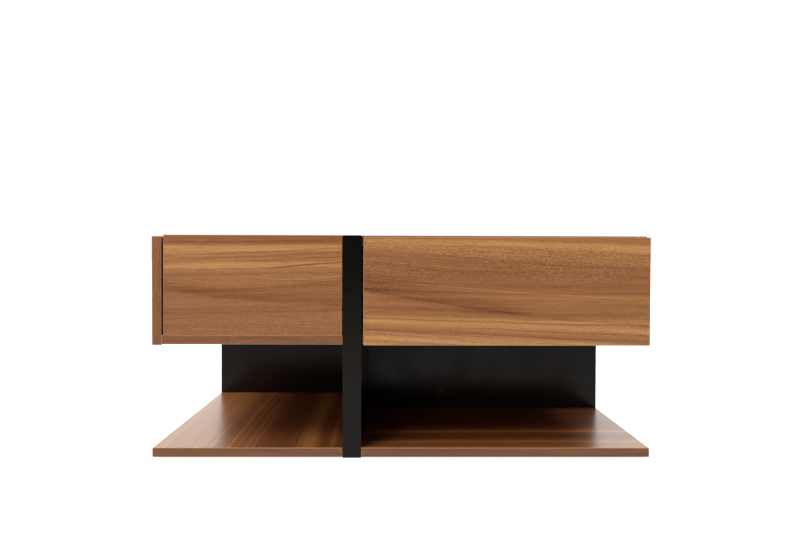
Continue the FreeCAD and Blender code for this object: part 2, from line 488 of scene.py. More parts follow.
@dataclass(frozen=True)
class SwooshMask:
    """Group that draws one sweep of grain, crisp on its lower side and fading out above."""

    run_in: float = 0.2
    arch: float = 4.0

    def build(self) -> bpy.types.NodeTree:
        """Makes the group.

        Returns:
            A group that gives the sweep's mask from its places, as shares of the board's length and width.
        """
        names = ("Along", "Share", "Length", "Width", "Start", "End", "Bow", "Begin", "Crisp", "Fade")
        group = ShaderGroup("grain swoosh", dict.fromkeys(names, "value"), ("Mask",))
        sketch, given = group.sketch, group.given
        run = sketch.plus(sketch.math("DIVIDE", given["Along"], given["Length"]), 0.5)
        straight = sketch.between(run, given["Start"], given["End"])
        arch = sketch.times(sketch.times(run, sketch.minus(1.0, run)), self.arch)
        path = sketch.plus(straight, sketch.times(arch, given["Bow"]))
        offset = sketch.times(sketch.minus(given["Share"], path), given["Width"])
        rise = sketch.smooth(offset, sketch.times(given["Crisp"], -1.0), 0.0)
        fall = sketch.fading(offset, 0.0, given["Fade"])
        begun = sketch.smooth(run, given["Begin"], sketch.plus(given["Begin"], self.run_in))
        return group.give(Mask=sketch.times(sketch.times(rise, fall), begun))


@dataclass(frozen=True)
class Handling:
    """Group for the marks of use on any finish: soft smudges, a fine even grain and a mask of edges, for
    rubbed wear with a painted highlight.
    """

    smudge: float = 0.07
    smudge_detail: float = 3.0
    smudge_roughness: float = 0.55
    smudge_cut: Span = (0.4, 0.66)
    grain_detail: float = 2.0
    edge_cut: Span = (0.76, 0.95)

    def build(self) -> bpy.types.NodeTree:
        """Makes the group.

        Returns:
            A group that gives a mask of smudges, a fine grain of the given size and a mask of the edges.
        """
        kinds = {"Position": "vector", "Facing": "vector", "Grain": "value"}
        group = ShaderGroup("handling", kinds, ("Smudge", "Grain", "Edge"))
        sketch, given = group.sketch, group.given
        _, squarest = sketch.facing(given["Facing"])
        cloud = sketch.noise(given["Position"], 1 / self.smudge, self.smudge_detail, self.smudge_roughness)
        fineness = sketch.math("DIVIDE", 1.0, given["Grain"])
        return group.give(
            Smudge=sketch.smooth(cloud, *self.smudge_cut),
            Grain=sketch.noise(given["Position"], fineness, self.grain_detail),
            Edge=sketch.fading(squarest, *self.edge_cut),
        )


class Effects:
    """The shader groups that the finishes share, each built once."""

    grain_flow = GrainFlow().build()
    wood_grain = WoodGrain().build()
    swoosh = SwooshMask().build()
    handling = Handling().build()


@dataclass(frozen=True)
class Swoosh:
    """One sweep of grain along a board, dark, or pale with a negative depth.

    Attributes:
        start: The share of the width that it has at the start of the board's length.
        end: The share of the width that it has at the end.
        bow: How far its middle is off the straight line, as a share of the width.
        begin: The share of the length where it sets in.
        crisp: The width of its lower side in metres.
        fade: The width of its upper side in metres.
        depth: How much it takes from the tone.
    """

    start: float
    end: float
    bow: float = 0.0
    begin: float = -0.3
    crisp: float = 0.002
    fade: float = 0.02
    depth: float = 0.3

    @property
    def shape(self) -> dict[str, float]:
        """The sweep's places and widths, as its shader group names them."""
        names = ("start", "end", "bow", "begin", "crisp", "fade")
        return {name.title(): getattr(self, name) for name in names}


@dataclass(frozen=True)
class Figure:
    """The figure of a printed board.

    Attributes:
        tones: The tone at shares of the board's width; on the shelves it also holds painted shade, darker
            towards the inner end.
        pores: How thickly pores and flecks are strewn, at shares of the width.
        wander: How far the grain lines wander, in metres.
        falls: How far the grain lines fall over the board's length, at shares of the width.
        rings: How strong the growth rings are.
        fine: How strong the bands, lines and fibres are.
        painted_shade_tint: How much the print is darkened and warmed as painted shade.
        relief: How strong the emboss and its swing of gloss are.
        haze: How much of the dull film lies over the print.
        stretch: How many times longer than usual the grain marks are.
        swooshes: The sweeps of grain.
    """

    tones: Stops
    pores: Stops = ((0.0, 0.5), (1.0, 0.5))
    wander: float = 0.03
    falls: Stops = ((0.0, 0.0), (1.0, 0.0))
    rings: float = 0.6
    fine: float = 1.0
    painted_shade_tint: float = 0.0
    relief: float = 1.0
    haze: float = 0.0
    stretch: float = 1.0
    swooshes: tuple[Swoosh, ...] = ()


def streaks(*rows: tuple[float, float, float, float], crisp: float = 0.001) -> tuple[Swoosh, ...]:
    """Makes thin straight sweeps.

    Args:
        rows: The start, end, fade and depth of each sweep.
        crisp: The width of their lower sides.

    Returns:
        The sweeps, in the order of the rows.
    """
    return tuple(Swoosh(start, end, crisp=crisp, fade=fade, depth=depth) for start, end, fade, depth in rows)


DRAWER_FIGURE = Figure(
    tones=(
        (0.0, 0.43), (0.07, 0.45), (0.13, 0.41), (0.2, 0.41), (0.3, 0.45), (0.42, 0.42), (0.55, 0.46),
        (0.625, 0.47), (0.66, 0.62), (0.705, 0.74), (0.745, 0.6), (0.785, 0.55), (0.82, 0.54), (0.86, 0.78),
        (0.895, 0.72), (0.925, 0.4), (0.95, 0.31), (1.0, 0.34),
    ),
    pores=((0.0, 0.5), (0.2, 0.5), (0.35, 0.32), (0.5, 0.38), (0.63, 0.4), (0.69, 0.3), (1.0, 0.3)),
    wander=0.02,
    rings=0.5,
    swooshes=(
        Swoosh(0.48, 0.31, bow=-0.035, crisp=0.008, fade=0.02, depth=0.16),
        Swoosh(0.45, 0.34, bow=-0.045, begin=0.05, crisp=0.0012, fade=0.004, depth=0.06),
        Swoosh(0.6, 0.72, begin=0.5, crisp=0.0012, fade=0.003, depth=0.5),
        Swoosh(0.755, 0.82, crisp=0.001, fade=0.003, depth=0.2),
        Swoosh(0.8, 0.865, begin=0.1, crisp=0.001, fade=0.003, depth=0.26),
        Swoosh(0.72, 0.77, begin=0.35, crisp=0.001, fade=0.003, depth=0.26),
        Swoosh(0.87, 0.585, bow=-0.14, begin=0.2, crisp=0.0012, fade=0.0016, depth=-0.16),
        Swoosh(0.845, 0.57, bow=-0.14, begin=0.4, crisp=0.001, fade=0.0016, depth=0.14),
    ),
)
PANEL_FIGURE = Figure(
    tones=(
        (0.0, 0.82), (0.02, 0.82), (0.055, 0.78), (0.085, 0.54), (0.125, 0.55), (0.165, 0.74), (0.195, 0.82),
        (0.24, 0.7), (0.275, 0.49), (0.33, 0.44), (0.4, 0.47), (0.46, 0.5), (0.52, 0.46), (0.6, 0.47),
        (0.68, 0.45), (0.72, 0.38), (0.76, 0.39), (0.8, 0.53), (0.83, 0.6), (0.87, 0.6), (0.91, 0.8),
        (0.94, 0.78), (0.97, 0.48), (1.0, 0.45),
    ),
    pores=(
        (0.0, 0.45), (0.25, 0.45), (0.36, 0.36), (0.56, 0.36), (0.66, 0.8), (0.88, 0.84), (0.93, 0.5),
        (1.0, 0.3),
    ),
    falls=(
        (0.0, 0.12), (0.08, 0.12), (0.14, 0.09), (0.2, 0.04), (0.3, 0.02), (0.5, 0.03), (0.6, 0.06),
        (0.72, 0.13), (0.8, 0.13), (0.87, 0.09), (0.93, 0.04), (1.0, 0.02),
    ),
    wander=0.016,
    rings=0.5,
    swooshes=(
        Swoosh(0.235, 0.51, bow=-0.05, begin=0.36, crisp=0.013, fade=0.032, depth=0.2),
        Swoosh(0.217, 0.49, bow=-0.045, crisp=0.0012, fade=0.004, depth=0.12),
        Swoosh(0.45, 0.56, bow=-0.01, crisp=0.0012, fade=0.002, depth=-0.14),
        *streaks(
            (0.215, 0.225, 0.003, 0.2), (0.15, 0.155, 0.003, 0.18), (0.1, 0.095, 0.004, 0.2),
            (0.045, 0.05, 0.003, 0.16), (0.885, 0.89, 0.003, 0.14),
        ),
    ),
)
# Shelf print with painted shade: the tones run dark at the core panel's end, where the case above shades the
# shelf, with the print's streaks over them.
SHELF_PRINT_AND_SHADE = Figure(
    tones=(
        (0.0, 0.06), (0.045, 0.1), (0.065, 0.44), (0.085, 0.18), (0.125, 0.12), (0.155, 0.36), (0.19, 0.64),
        (0.23, 0.5), (0.26, 0.24), (0.33, 0.12), (0.42, 0.18), (0.48, 0.46), (0.56, 0.5), (0.62, 0.66),
        (0.655, 0.54), (0.69, 0.68), (0.75, 0.68), (0.85, 0.62), (1.0, 0.58),
    ),
    pores=((0.0, 0.1), (1.0, 0.1)),
    wander=0.02,
    rings=0.14,
    fine=0.85,
    painted_shade_tint=1.0,
    relief=0.25,
    haze=0.35,
    stretch=4.0,
    swooshes=(
        *streaks(
            (0.615, 0.62, 0.004, 0.26), (0.575, 0.57, 0.003, 0.22), (0.535, 0.53, 0.004, 0.2),
            (0.495, 0.5, 0.003, 0.22), (0.455, 0.46, 0.004, 0.16), (0.69, 0.7, 0.003, -0.16),
            (0.185, 0.19, 0.002, -0.22), (0.17, 0.165, 0.002, -0.2), (0.56, 0.55, 0.006, -0.26),
            (0.47, 0.475, 0.004, -0.2), (0.245, 0.25, 0.003, -0.25), (0.215, 0.21, 0.002, -0.25),
            (0.715, 0.72, 0.003, 0.2),
        ),
        *streaks(
            (0.51, 0.51, 0.003, -0.55), (0.6, 0.6, 0.003, -0.45), (0.78, 0.77, 0.004, -0.16),
            (0.64, 0.65, 0.004, 0.18), (0.675, 0.685, 0.004, 0.2), crisp=0.0015,
        ),
    ),
)
# Longer shelf print with painted shade: the tones run dark at the core panel's end and lighten towards the
# front edge, as the case above shades it.
LONG_SHELF_PRINT_AND_SHADE = replace(
    SHELF_PRINT_AND_SHADE,
    tones=(
        (0.0, 0.06), (0.2, 0.1), (0.4, 0.06), (0.55, 0.1), (0.62, 0.36), (0.65, 0.66), (0.68, 0.2),
        (0.77, 0.04), (0.84, 0.24), (0.88, 0.52), (0.91, 0.22), (0.95, 0.31), (1.0, 0.48),
    ),
    swooshes=(
        *streaks((0.64, 0.66, 0.003, -0.3), (0.87, 0.89, 0.003, -0.25), crisp=0.0015),
        Swoosh(0.75, 0.8, crisp=0.003, fade=0.008, depth=0.12),
    ),
)
STRAIGHT_FIGURE = Figure(
    tones=(
        (0.0, 0.5), (0.06, 0.66), (0.1, 0.42), (0.18, 0.46), (0.25, 0.56), (0.3, 0.84), (0.345, 0.4),
        (0.4, 0.74), (0.44, 0.42), (0.55, 0.4), (0.63, 0.52), (0.67, 0.86), (0.71, 0.44), (0.76, 0.7),
        (0.82, 0.42), (0.9, 0.6), (1.0, 0.46),
    ),
    pores=((0.0, 0.1), (1.0, 0.1)),
    wander=0.035,
    rings=0.8,
    stretch=4.0,
)
CATHEDRAL_FIGURE = Figure(
    tones=(
        (0.0, 0.42), (0.09, 0.66), (0.16, 0.5), (0.24, 0.74), (0.3, 0.48), (0.5, 0.46), (0.66, 0.5),
        (0.72, 0.72), (0.8, 0.46), (0.87, 0.78), (0.94, 0.56), (1.0, 0.4),
    ),
    pores=((0.0, 0.3), (0.4, 0.8), (0.6, 0.8), (1.0, 0.3)),
    wander=0.05,
    rings=0.8,
    swooshes=(
        Swoosh(0.36, 0.44, bow=0.16, crisp=0.003, fade=0.03, depth=0.22),
        Swoosh(0.62, 0.52, bow=0.1, crisp=0.002, fade=0.012, depth=0.24),
    ),
)
CALM_FIGURE = Figure(
    tones=(
        (0.0, 0.44), (0.12, 0.5), (0.2, 0.72), (0.27, 0.78), (0.31, 0.48), (0.45, 0.5), (0.58, 0.42),
        (0.7, 0.5), (0.82, 0.46), (0.88, 0.7), (0.93, 0.52), (1.0, 0.44),
    ),
    pores=((0.0, 0.6), (0.2, 0.2), (0.4, 0.9), (0.8, 0.8), (1.0, 0.4)),
    wander=0.05,
    rings=0.7,
    swooshes=(
        Swoosh(0.62, 0.48, bow=0.05, crisp=0.004, fade=0.022, depth=0.2),
        Swoosh(0.36, 0.31, bow=-0.03, crisp=0.0012, fade=0.004, depth=0.25),
    ),
)


@dataclass(frozen=True)
class Board:
    """A flat board of the frame, as its finish sees it: turned, where its figure runs from its other end."""

    side: Side
    part: str
    lay: Lay
    seed: float
    turned: bool = False

    @property
    def node(self) -> str:
        """The board's name in the frame."""
        return f"{self.side.word}_{self.part}"

    @property
    def axes(self) -> Matrix:
        """The directions along, across and through the board, as it lies in its own quarter."""
        half_turn = Matrix.Diagonal((-1, -1, 1)) if self.turned else Matrix.Identity(3)
        return self.side.turn.to_3x3() @ self.lay.axes @ half_turn

    @property
    def middle(self) -> Vector:
        """The board's middle."""
        low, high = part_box(self.node)
        return (low + high) / 2

    @property
    def size(self) -> Vector:
        """The board's length, width and thickness."""
        low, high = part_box(self.node)
        return Vector([abs(part) for part in self.axes.transposed() @ (high - low)])

    def coordinates(self, sketch: NodeSketch) -> tuple[Socket, Socket]:
        """Adds nodes for the place on the board and for the way its surface faces.

        Args:
            sketch: Where the nodes go.

        Returns:
            The place from the board's middle and the surface's direction, both along, across and through it.
        """
        source = sketch.add("TexCoord").outputs
        turn = self.axes.to_euler()
        place = sketch.add("Mapping", vector_type="TEXTURE")
        facing = sketch.add("Mapping", vector_type="TEXTURE")
        return (
            sketch.wired(place, {"Location": self.middle, "Rotation": turn, "Vector": source["Object"]}),
            sketch.wired(facing, {"Rotation": turn, "Vector": source["Normal"]}),
        )


class Dressing:
    """A material being made: its shader, its nodes and what they end in."""

    def __init__(self, name: str) -> None:
        """Starts a material with a Principled shader.

        Args:
            name: The material's name.
        """
        self.material = bpy.data.materials.new(name)
        self.material.use_nodes = True
        tree = self.material.node_tree
        tree.nodes.clear()
        self.sketch = NodeSketch(tree)
        self.shader = self.sketch.add("BsdfPrincipled")
        output = self.sketch.add("OutputMaterial")
        self.sketch.feed(output.inputs["Surface"], self.shader.outputs[0])

    def set(self, **values: object) -> None:
        """Feeds shader sockets, named in words joined by underscores."""
        for name, value in values.items():
            self.sketch.feed(self.shader.inputs[name.replace("_", " ").title().replace("Ior", "IOR")], value)

    def emboss(self, height: Socket, depth: float, strength: float) -> None:
        """Raises the surface by a height map.

        Args:
            height: The height from 0 to 1.
            depth: How high 1 stands, in metres.
            strength: How strongly it shows.
        """
        bump = self.sketch.add("Bump")
        raised = self.sketch.wired(bump, {"Strength": strength, "Distance": depth, "Height": height})
        self.sketch.feed(self.shader.inputs["Normal"], raised)


@dataclass(frozen=True)
class WalnutLaminate:
    """Satin walnut print on the faces, plainer bands on the edges, and a pale colour on eased edges that is
    partly the band's paler edge and partly a painted highlight along the arris.

    Boards whose figure asks for it have a dull film over the print, which is a rough coat.
    """

    face_stops: ColourStops = (
        (0.0, colour(92, 47, 14)),
        (0.2, colour(129, 79, 40)),
        (0.4, colour(152, 99, 60)),
        (0.55, colour(168, 113, 68)),
        (0.75, colour(191, 136, 81)),
        (1.0, colour(212, 160, 102)),
    )
    band_stops: ColourStops = (
        (0.0, colour(74, 44, 26)),
        (0.5, colour(138, 90, 57)),
        (1.0, colour(188, 134, 90)),
    )
    pore_colour: Colour = colour(90, 51, 25)
    fleck_colour: Colour = colour(214, 168, 122)
    # Multiplied into the shelves' print as painted shade, darker and warmer under the case.
    painted_shade_tint_colour: Colour = (1.0, 0.86, 0.66, 1.0)
    # Eased edges: partly the band's paler edge, partly a painted highlight along the arris.
    pale_edge_and_highlight_colour: Colour = colour(214, 168, 130)
    pore_share: float = 0.64
    fleck_share: float = 0.32
    pale_edge_and_highlight_share: float = 0.55
    band_tone: float = 0.5
    band_fine: float = 1.0
    band_rings: float = 0.4
    band_pace: float = 2.0
    roughness: float = 0.28
    roughness_swing: float = 0.08
    pore_roughness: float = 0.04
    ease_roughness: float = 0.3
    haze_roughness: float = 0.55
    emboss_depth: float = 0.00015
    emboss_share: float = 0.04

    def flow(self, sketch: NodeSketch, board: Board, figure: Figure) -> dict[str, Socket]:
        """Adds the board's wandering grain lines.

        Args:
            sketch: Where the nodes go.
            board: The board that wears the laminate.
            figure: The board's own figure.

        Returns:
            The grain flow's outputs by name.
        """
        place, facing = board.coordinates(sketch)
        length, width, _ = board.size
        level = sketch.plus(sketch.times(sketch.parts(place)[1], 1 / width), 0.5)
        fall = sketch.times(sketch.profile(level, figure.falls), width / length)
        return sketch.group(
            Effects.grain_flow, Position=place, Facing=facing, Width=width, Wander=figure.wander, Fall=fall,
            Seed=board.seed,
        )

    def tone(self, sketch: NodeSketch, board: Board, figure: Figure, flow: dict[str, Socket]) -> Socket:
        """Adds the board's tones and sweeps.

        Args:
            sketch: Where the nodes go.
            board: The board that wears the laminate.
            figure: The board's own figure.
            flow: The grain flow's outputs.

        Returns:
            The tone before any fine grain, which is even on the edge bands.
        """
        length, width, _ = board.size
        tone = sketch.profile(flow["Share"], figure.tones)
        for sweep in figure.swooshes:
            mask = sketch.group(
                Effects.swoosh, Along=flow["Along"], Share=flow["Share"], Length=length, Width=width,
                **sweep.shape,
            )["Mask"]
            tone = sketch.minus(tone, sketch.times(mask, sweep.depth))
        return sketch.between(flow["Face"], self.band_tone, tone)

    def material(self, board: Board, figure: Figure) -> bpy.types.Material:
        """Makes the laminate of one board.

        Args:
            board: The board that wears it.
            figure: The board's own figure.

        Returns:
            The material.
        """
        dressing = Dressing(board.node + " walnut laminate")
        sketch = dressing.sketch
        flow = self.flow(sketch, board, figure)
        pace = sketch.between(flow["Face"], self.band_pace, 1 / figure.stretch)
        grain = sketch.group(
            Effects.wood_grain,
            Along=sketch.times(flow["Along"], pace),
            Across=flow["Across"],
            Tone=self.tone(sketch, board, figure, flow),
            Seed=board.seed,
            Rings=sketch.between(flow["Face"], self.band_rings, figure.rings),
            Fine=sketch.between(flow["Face"], self.band_fine, figure.fine),
        )
        strewn = sketch.profile(flow["Share"], figure.pores)
        pores = sketch.times(grain["Pores"], strewn)
        flecks = sketch.times(grain["Flecks"], strewn)
        face = sketch.ramp(grain["Tone"], self.face_stops)
        # Painted shade: darkens and warms the shelves' print.
        face = sketch.blend(figure.painted_shade_tint, face, self.painted_shade_tint_colour, "MULTIPLY")
        face = sketch.blend(sketch.times(pores, self.pore_share), face, self.pore_colour)
        face = sketch.blend(sketch.times(flecks, self.fleck_share), face, self.fleck_colour)
        band = sketch.ramp(grain["Tone"], self.band_stops)
        surface = sketch.blend(flow["Face"], band, face)
        # Pale eased edges: the band's paler edge together with a painted highlight along the arris.
        surface = sketch.blend(sketch.times(flow["Ease"], self.pale_edge_and_highlight_share), surface, self.pale_edge_and_highlight_colour)
        satin = sketch.plus(
            sketch.swing(grain["Fibres"], self.roughness_swing * figure.relief), self.roughness
        )
        satin = sketch.plus(satin, sketch.times(pores, self.pore_roughness))
        satin = sketch.plus(satin, sketch.times(flow["Ease"], self.ease_roughness))
        dressing.set(base_color=surface, roughness=satin)
        dressing.set(coat_weight=figure.haze, coat_roughness=self.haze_roughness)
        height = sketch.minus(grain["Fibres"], pores)
        dressing.emboss(height, self.emboss_depth, self.emboss_share * figure.relief)
        return dressing.material


WALNUT = WalnutLaminate()


@dataclass(frozen=True)
class DrawerFoil:
    """Matt wood-grain foil of the drawer boxes: straighter, plainer and darker than the laminate."""

    stops: ColourStops = (
        (0.0, colour(84, 54, 36)),
        (0.5, colour(122, 83, 57)),
        (1.0, colour(152, 108, 76)),
    )
    pore_colour: Colour = colour(70, 44, 30)
    tone: float = 0.5
    rings: float = 0.3
    fine: float = 1.0
    pace: float = 0.55
    wander: float = 0.01
    pore_share: float = 0.28
    roughness: float = 0.46
    roughness_swing: float = 0.12
    emboss_depth: float = 0.0001
    emboss_share: float = 0.2

    def material(self, board: Board) -> bpy.types.Material:
        """Makes the foil of one board.

        Args:
            board: The board that wears it.

        Returns:
            The material.
        """
        dressing = Dressing(board.node + " foil")
        sketch = dressing.sketch
        place, facing = board.coordinates(sketch)
        flow = sketch.group(
            Effects.grain_flow, Position=place, Facing=facing, Width=board.size.y, Wander=self.wander,
            Seed=board.seed,
        )
        grain = sketch.group(
            Effects.wood_grain, Along=sketch.times(flow["Along"], self.pace), Across=flow["Across"],
            Tone=self.tone, Seed=board.seed, Rings=self.rings, Fine=self.fine,
        )
        surface = sketch.ramp(grain["Tone"], self.stops)
        surface = sketch.blend(sketch.times(grain["Pores"], self.pore_share), surface, self.pore_colour)
        matt = sketch.plus(sketch.swing(grain["Fibres"], self.roughness_swing), self.roughness)
        dressing.set(base_color=surface, roughness=matt)
        height = sketch.minus(grain["Fibres"], grain["Pores"])
        dressing.emboss(height, self.emboss_depth, self.emboss_share)
        return dressing.material


DRAWER_FOIL = DrawerFoil()


@dataclass(frozen=True)
class EvenFinish:
    """A finish of one even substance: a slightly clouded colour, with smudges and a fine grain in its gloss.

    Where it has a rubbed edge colour, that shows along the edges, partly as wear and partly as a painted
    highlight.
    """

    name: str
    slot: str
    base: Colour
    clouded: Colour
    roughness: float
    smudge_roughness: float
    grain: float
    grain_roughness: float
    emboss_depth: float
    emboss_strength: float = 0.3
    metallic: float = 0.0
    sheen: float = 0.0
    rubbed_edge_and_highlight: Colour | None = None

    @cache
    def material(self) -> bpy.types.Material:
        """Makes the finish, once for all that wear it.

        Returns:
            The material.
        """
        dressing = Dressing(self.name)
        sketch = dressing.sketch
        source = sketch.add("TexCoord").outputs
        marks = sketch.group(
            Effects.handling, Position=source["Object"], Facing=source["Normal"], Grain=self.grain
        )
        surface = sketch.blend(marks["Smudge"], self.base, self.clouded)
        # Edge colour: rubbed wear together with a painted highlight on the rim.
        if self.rubbed_edge_and_highlight:
            surface = sketch.blend(marks["Edge"], surface, self.rubbed_edge_and_highlight)
        fine = sketch.swing(marks["Grain"], self.grain_roughness)
        gloss = sketch.plus(sketch.times(marks["Smudge"], self.smudge_roughness), self.roughness)
        dressing.set(base_color=surface, roughness=sketch.plus(gloss, fine))
        dressing.set(metallic=self.metallic, sheen_weight=self.sheen)
        dressing.emboss(marks["Grain"], self.emboss_depth, self.emboss_strength)
        return dressing.material


BLACK_LAMINATE = EvenFinish(
    name="satin black laminate", slot="black_laminate",
    base=(0.004, 0.0026, 0.0018, 1), clouded=(0.0045, 0.0036, 0.0032, 1),
    roughness=0.19, smudge_roughness=0.07, grain=0.0012, grain_roughness=0.02,
    emboss_depth=0.00005, emboss_strength=0.06,
)
HARDBOARD = EvenFinish(
    name="foiled hardboard", slot="hardboard", base=colour(112, 76, 52), clouded=colour(124, 86, 60),
    roughness=0.5, smudge_roughness=0.08, grain=0.0016, grain_roughness=0.2, emboss_depth=0.00012,
)
ZINC = EvenFinish(
    name="bright zinc plate", slot="zinc_steel", base=(0.62, 0.63, 0.65, 1), clouded=(0.52, 0.53, 0.56, 1),
    roughness=0.24, smudge_roughness=0.14, grain=0.004, grain_roughness=0.12, emboss_depth=0.00003,
    metallic=1.0,
)
BEARING = EvenFinish(
    name="bearing steel", slot="bearing_steel", base=(0.56, 0.57, 0.58, 1), clouded=(0.5, 0.5, 0.51, 1),
    roughness=0.12, smudge_roughness=0.1, grain=0.003, grain_roughness=0.06, emboss_depth=0.00001,
    metallic=1.0,
)
# The screw heads' bronze edge colour is partly rubbed wear and partly a painted highlight on the rim.
BLACK_STEEL = EvenFinish(
    name="blackened steel", slot="black_steel", base=(0.2, 0.13, 0.085, 1), clouded=(0.15, 0.1, 0.065, 1),
    roughness=0.28, smudge_roughness=0.1, grain=0.0008, grain_roughness=0.1, emboss_depth=0.00004,
    metallic=1.0, rubbed_edge_and_highlight=(0.95, 0.72, 0.54, 1),
)
BLACK_PLASTIC = EvenFinish(
    name="moulded black plastic", slot="black_plastic",
    base=(0.014, 0.014, 0.015, 1), clouded=(0.02, 0.02, 0.021, 1),
    roughness=0.42, smudge_roughness=0.12, grain=0.0007, grain_roughness=0.2, emboss_depth=0.00008,
)
GREY_PLASTIC = EvenFinish(
    name="moulded grey plastic", slot="grey_plastic", base=(0.34, 0.34, 0.35, 1), clouded=(0.3, 0.3, 0.3, 1),
    roughness=0.38, smudge_roughness=0.1, grain=0.001, grain_roughness=0.12, emboss_depth=0.00005,
)
FELT = EvenFinish(
    name="pressed felt", slot="felt", base=(0.05, 0.045, 0.042, 1), clouded=(0.085, 0.078, 0.072, 1),
    roughness=0.92, smudge_roughness=0.04, grain=0.0009, grain_roughness=0.1, emboss_depth=0.0005,
    emboss_strength=0.8, sheen=0.4,
)


def dress(node: str, material: bpy.types.Material) -> None:
    """Gives a frame node a material in all its slots.

    Args:
        node: The node's name.
        material: What it wears.
    """
    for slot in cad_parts[node].material_slots:
        slot.material = material
    log.info("%s wears %s", node, material.name)


class Bench:
    """Modelling by operators, one new piece at a time."""

    @staticmethod
    def clear() -> None:
        """Deselects everything."""
        bpy.ops.object.select_all(action="DESELECT")

    @staticmethod
    def only(piece: Piece) -> None:
        """Selects one piece alone and makes it the active one.

        Args:
            piece: The piece.
        """
        Bench.clear()
        piece.select_set(True)
        bpy.context.view_layer.objects.active = piece

    @staticmethod
    def cylinder(radius: float, height: float, sides: int) -> Piece:
        """Adds a cylinder that stands on the origin.

        Args:
            radius: Its radius.
            height: Its height.
            sides: How many sides it has.

        Returns:
            The cylinder.
        """
        Bench.clear()
        bpy.ops.mesh.primitive_cylinder_add(
            vertices=sides, radius=radius, depth=height, location=(0, 0, height / 2)
        )
        bpy.ops.object.transform_apply()
        return bpy.context.object

    @staticmethod
    def block(size: Sequence[float], middle: Sequence[float]) -> Piece:
        """Adds a box.

        Args:
            size: Its lengths along X, Y and Z.
            middle: Its middle.

        Returns:
            The box.
        """
        Bench.clear()
        bpy.ops.mesh.primitive_cube_add(size=1, location=middle, scale=size)
        bpy.ops.object.transform_apply()
        return bpy.context.object

    @staticmethod
    def edit(piece: Piece) -> None:
        """Opens a piece for shaping by its faces.

        Args:
            piece: The piece.
        """
        Bench.only(piece)
        bpy.ops.object.mode_set(mode="EDIT")
        bpy.ops.mesh.select_mode(type="FACE")

    @staticmethod
    def pick(piece: Piece, test: Callable[[Vector, Vector], bool]) -> None:
        """Selects faces of an open piece.

        Args:
            piece: The piece.
            test: Says from a face's middle and normal whether it is wanted.
        """
        bpy.ops.mesh.select_all(action="DESELECT")
        mesh = bmesh.from_edit_mesh(piece.data)
        for face in mesh.faces:
            face.select_set(test(face.calc_center_median(), face.normal))
        bmesh.update_edit_mesh(piece.data)

    @staticmethod
    def close() -> None:
        """Ends the shaping."""
        bpy.ops.object.mode_set(mode="OBJECT")

    @staticmethod
    def carve(piece: Piece, cutter: Piece) -> None:
        """Cuts one piece out of another and takes the cutter away.

        Args:
            piece: The piece that is cut.
            cutter: The piece that cuts.
        """
        Bench.only(piece)
        cut = piece.modifiers.new("carve", "BOOLEAN")
        cut.operation = "DIFFERENCE"
        cut.object = cutter
        bpy.ops.object.modifier_apply(modifier=cut.name)
        bpy.data.objects.remove(cutter)

    @staticmethod
    def carve_cross(piece: Piece, arm_length: float, arm_width: float, recess: float, top: float) -> None:
        """Carves a driver's cross into the top of a piece, two arms at the given depth."""
        for size in ((arm_length, arm_width), (arm_width, arm_length)):
            Bench.carve(piece, Bench.block((*size, 2 * recess), (0, 0, top)))

    @staticmethod
    def smooth(piece: Piece, angle: float = 35.0) -> None:
        """Shades a piece smooth where its faces meet at less than an angle in degrees."""
        Bench.only(piece)
        bpy.ops.object.shade_smooth_by_angle(angle=math.radians(angle))

    @staticmethod
    def join(parts: Sequence[Piece], name: str) -> Piece:
        """Joins parts into one piece.

        Args:
            parts: The parts, of which the first takes in the others.
            name: The piece's name.

        Returns:
            The piece.
        """
        Bench.only(parts[0])
        for part in parts:
            part.select_set(True)
        if len(parts) > 1:
            bpy.ops.object.join()
        parts[0].name = name
        parts[0].data.name = name
        return parts[0]

    @staticmethod
    def copies(master: Piece, places: Iterable[Matrix], name: str) -> Piece:
        """Copies a modelled master to every place, each copy with its own mesh.

        Args:
            master: The piece that was modelled once.
            places: Where each copy goes.
            name: The name of the piece that the copies make.

        Returns:
            One piece of all the copies.
        """
        made = []
        for place in places:
            copy = master.copy()
            copy.data = master.data.copy()
            copy.data.transform(place)
            bpy.context.scene.collection.objects.link(copy)
            made.append(copy)
        return Bench.join(made, name)


def share_of(low: float, high: float, share: float) -> float:
    """The place at a share of the way from a low place to a high one."""
    return low + share * (high - low)


@dataclass
class CrossScrew:
    """A screw head with a cross recess, domed or flat, modelled on the origin with its head up.

    The shoulder and the brow are the two steps of its dome, each a share of the radius and of the crown.
    """

    radius: float
    height: float
    crown: float
    arm_length: float
    arm_width: float
    recess: float
    shoulder: Span = (0.16, 0.55)
    brow: Span = (0.26, 0.45)
    sides: int = 20

    def model(self) -> Piece:
        """Models one head.

        Returns:
            The master piece.
        """
        head = Bench.cylinder(self.radius, self.height, self.sides)
        Bench.edit(head)
        Bench.pick(head, lambda middle, normal: normal.z > SQUARE_ON)
        for inwards, upwards in (self.shoulder, self.brow):
            bpy.ops.mesh.inset(thickness=self.radius * inwards, depth=self.crown * upwards)
        Bench.close()
        Bench.carve_cross(head, self.arm_length, self.arm_width, self.recess, self.height + self.crown)
        Bench.smooth(head)
        return head


